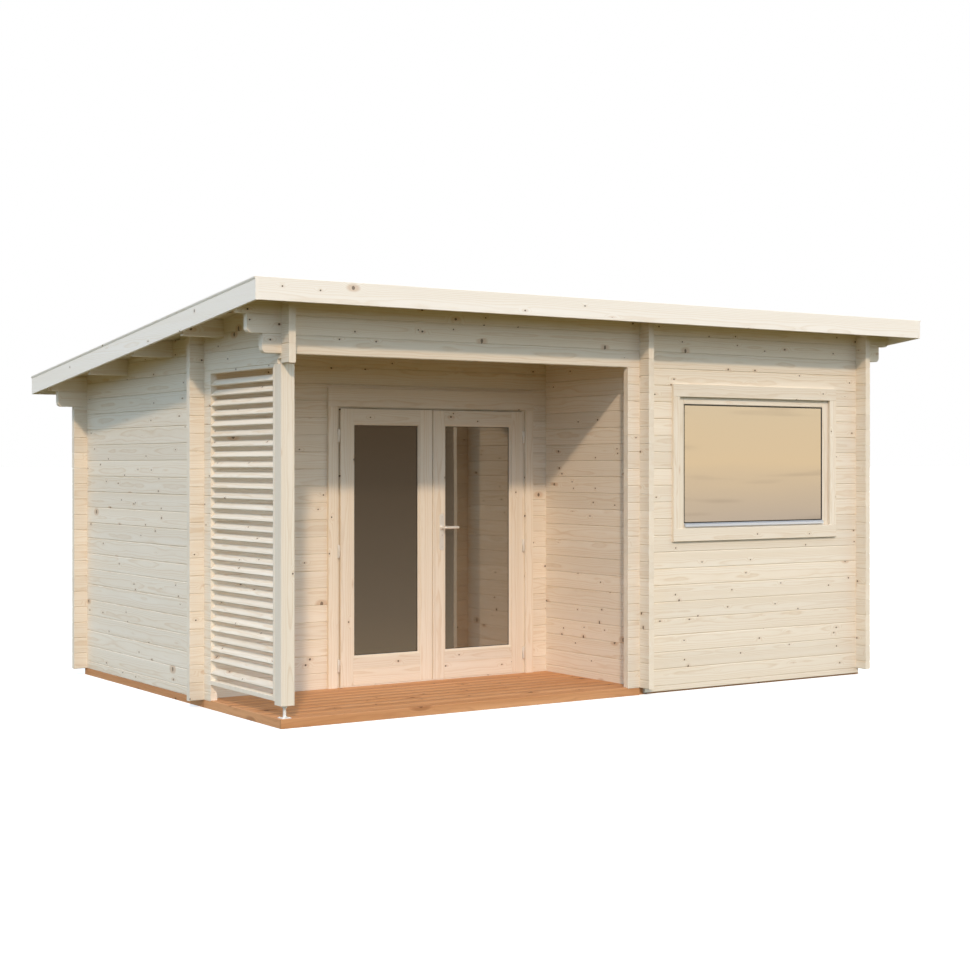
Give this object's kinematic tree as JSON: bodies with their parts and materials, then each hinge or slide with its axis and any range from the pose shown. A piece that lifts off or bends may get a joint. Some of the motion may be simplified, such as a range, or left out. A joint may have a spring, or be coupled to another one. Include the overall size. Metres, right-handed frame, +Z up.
{
  "type": "sauna cabin",
  "caption": "Log-built garden sauna cabin with a lean-to roof, a recessed corner terrace with a louvre screen, glazed double doors and a window.",
  "frame": {"origin": "on the ground, in the middle of the roof's plan outline", "axes": "+X to the right along the front, +Y from the front towards the back, +Z up"},
  "size_m": [5.44, 3.765, 2.6255],
  "materials": {
    "wall_logs": "planed, untreated",
    "planed_boards": "planed, untreated",
    "deck_wood": "impregnated",
    "covering": "matt",
    "steel": "satin",
    "bar_metal": "satin",
    "glass": "clear"
  },
  "bodies": {
    "cabin": {"foundation_frame": "deck_wood", "terrace_frame": "deck_wood", "terrace_boards": "deck_wood", "cabin_floor": "planed_boards", "front_starter": "planed_boards", "left_wall": "wall_logs", "left_header": "wall_logs", "right_wall": "wall_logs", "partition_wall": "wall_logs", "back_wall": "wall_logs", "door_wall_left": "wall_logs", "door_wall_right": "wall_logs", "door_wall_over": "wall_logs", "front_wall": "wall_logs", "front_beam": "wall_logs", "corner_post": "planed_boards", "post_foot": "steel", "louvre_frame": "planed_boards", "louvre_slats": "planed_boards", "purlin_front": "wall_logs", "purlin_middle": "wall_logs", "purlin_back": "wall_logs", "roof_boards": "planed_boards", "roof_covering": "covering", "front_fascia": "planed_boards", "back_fascia": "planed_boards", "left_fascia": "planed_boards", "right_fascia": "planed_boards", "door_frame": "planed_boards", "door_trim_outside": "planed_boards", "door_trim_inside": "planed_boards", "door_hinge_pins": "steel", "window_frame": "planed_boards", "window_glass": "glass", "window_bar": "bar_metal", "window_trim_outside": "planed_boards", "window_trim_inside": "planed_boards"},
    "left_door": {"left_door_leaf": "planed_boards", "left_door_glass": "glass", "left_door_hinges": "steel"},
    "right_door": {"right_door_leaf": "planed_boards", "right_door_glass": "glass", "right_door_hinges": "steel", "door_lock_plate": "steel"},
    "handle": {"door_handle": "steel"}
  },
  "joints": [
    {"name": "left_door_hinge", "type": "hinge", "parent": "cabin", "child": "left_door", "pos_m": [-1.425, -0.5075, 1], "axis": [0, 0, -1], "range_deg": [0, 90]},
    {"name": "right_door_hinge", "type": "hinge", "parent": "cabin", "child": "right_door", "pos_m": [0.095, -0.5075, 1], "axis": [0, 0, 1], "range_deg": [0, 90]},
    {"name": "handle_turn", "type": "hinge", "parent": "right_door", "child": "handle", "pos_m": [-0.608, -0.4945, 1.12], "axis": [0, 1, 0], "range_deg": [0, 40], "stiffness_Nm_per_rad": 3, "springref_deg": -22.92}
  ]
}
